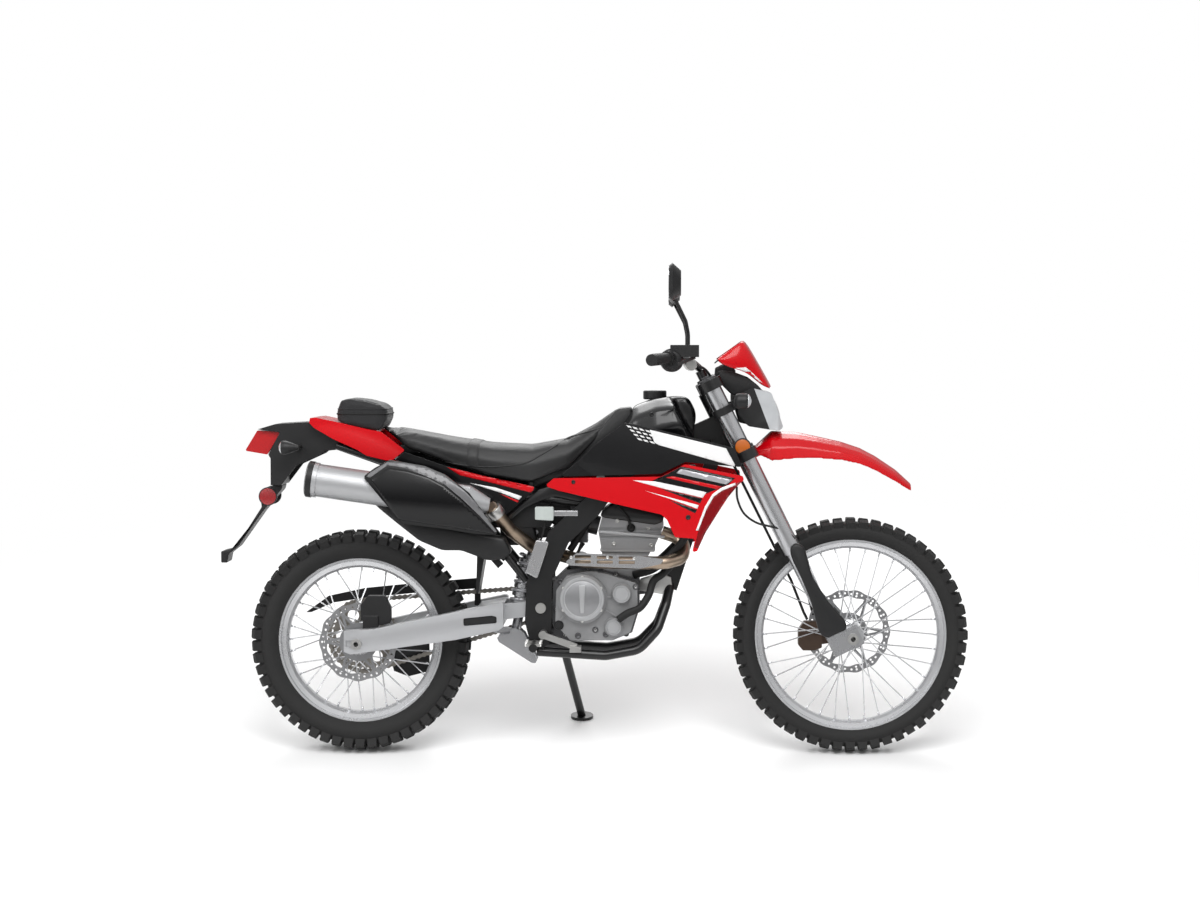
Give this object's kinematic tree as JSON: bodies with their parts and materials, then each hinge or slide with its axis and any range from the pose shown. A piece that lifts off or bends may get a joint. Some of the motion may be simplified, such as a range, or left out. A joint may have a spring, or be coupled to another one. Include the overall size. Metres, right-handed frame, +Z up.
{
  "type": "dual sport motorcycle",
  "caption": "Single-cylinder dual sport motorcycle with knobbly tyres, wire wheels, long seat and high fenders, leaning on its side stand.",
  "frame": {"origin": "on the floor, under the middle of the bounding box", "axes": "+X forward, +Y to the machine's left, +Z up; the machine leans 10 degrees to its left onto the side stand"},
  "size_m": [2.178, 0.8436, 1.4571],
  "materials": {
    "tyre": "matte rubber",
    "rim_alloy": "brushed",
    "disc_steel": "brushed",
    "drive_steel": "oiled",
    "arm_alloy": "brushed",
    "axle_steel": "zinc plated",
    "black_plastic": "grained",
    "caliper_alloy": "anodised",
    "frame_paint": "semi gloss",
    "shock_paint": "satin",
    "engine_alloy": "cast and painted silver",
    "radiator_alloy": "black coated",
    "header_steel": "heat tinted",
    "muffler_alloy": "brushed",
    "gloss_black": "gloss",
    "tank_paint": "gloss",
    "seat_vinyl": "grained vinyl",
    "red_plastic": "gloss",
    "lamp_red": "clear moulded",
    "bag_fabric": "woven nylon",
    "control_steel": "zinc plated",
    "fork_alloy": "polished",
    "grip_rubber": "ribbed",
    "lamp_lens": "clear moulded",
    "lamp_amber": "clear moulded"
  },
  "bodies": {
    "chassis": {"drive_chain": "drive_steel", "swingarm": "arm_alloy", "rear_axle": "axle_steel", "swingarm_pivot": "axle_steel", "chain_guard": "black_plastic", "airbox": "black_plastic", "fuel_cap": "black_plastic", "rear_fender": "black_plastic", "plate_holder": "black_plastic", "rear_caliper": "caliper_alloy", "main_frame": "frame_paint", "rear_subframe": "frame_paint", "foot_pegs": "frame_paint", "rear_shock": "shock_paint", "crankcase": "engine_alloy", "clutch_cover": "engine_alloy", "generator_cover": "engine_alloy", "cylinder": "engine_alloy", "cylinder_head": "engine_alloy", "carburettor": "engine_alloy", "rear_master_cylinder": "engine_alloy", "radiators": "radiator_alloy", "exhaust_header": "header_steel", "header_guard": "header_steel", "muffler": "muffler_alloy", "muffler_cover": "gloss_black", "tank_panels": "gloss_black", "side_covers": "gloss_black", "fuel_tank": "tank_paint", "seat": "seat_vinyl", "radiator_shrouds": "red_plastic", "tail_panels": "red_plastic", "rear_lamps": "lamp_red", "tool_bag": "bag_fabric", "foot_controls": "control_steel"},
    "steering": {"fork_tubes": "fork_alloy", "front_axle": "axle_steel", "fork_guards": "black_plastic", "triple_clamps": "frame_paint", "handlebar": "frame_paint", "grips": "grip_rubber", "hand_controls": "black_plastic", "mirrors": "black_plastic", "headlamp": "lamp_lens", "headlamp_mask": "red_plastic", "instrument": "black_plastic", "front_turn_signals": "lamp_amber", "front_fender": "red_plastic", "front_caliper": "caliper_alloy", "brake_hose": "grip_rubber"},
    "front_wheel": {"front_tyre": "tyre", "front_rim": "rim_alloy", "front_disc": "disc_steel"},
    "rear_wheel": {"rear_tyre": "tyre", "rear_rim": "rim_alloy", "rear_disc": "disc_steel", "rear_sprocket": "drive_steel"},
    "side_stand": {"side_stand": "frame_paint"}
  },
  "joints": [
    {"name": "steering_head", "type": "hinge", "parent": "chassis", "child": "steering", "pos_m": [0.853, -0.21312, 0.00417], "axis": [-0.4462, 0.1554, 0.8813], "range_deg": [-45, 45]},
    {"name": "front_wheel_spin", "type": "hinge", "parent": "steering", "child": "front_wheel", "pos_m": [0.748, -0.15391, 0.33999], "axis": [0, 0.9848, -0.1736], "continuous": true},
    {"name": "rear_wheel_spin", "type": "hinge", "parent": "chassis", "child": "rear_wheel", "pos_m": [-0.682, -0.15721, 0.32128], "axis": [0, 0.9848, -0.1736], "continuous": true},
    {"name": "side_stand_fold", "type": "hinge", "parent": "chassis", "child": "side_stand", "pos_m": [-0.102, -0.02176, 0.28318], "axis": [0, 0.9478, 0.319], "range_deg": [0, 75]}
  ]
}
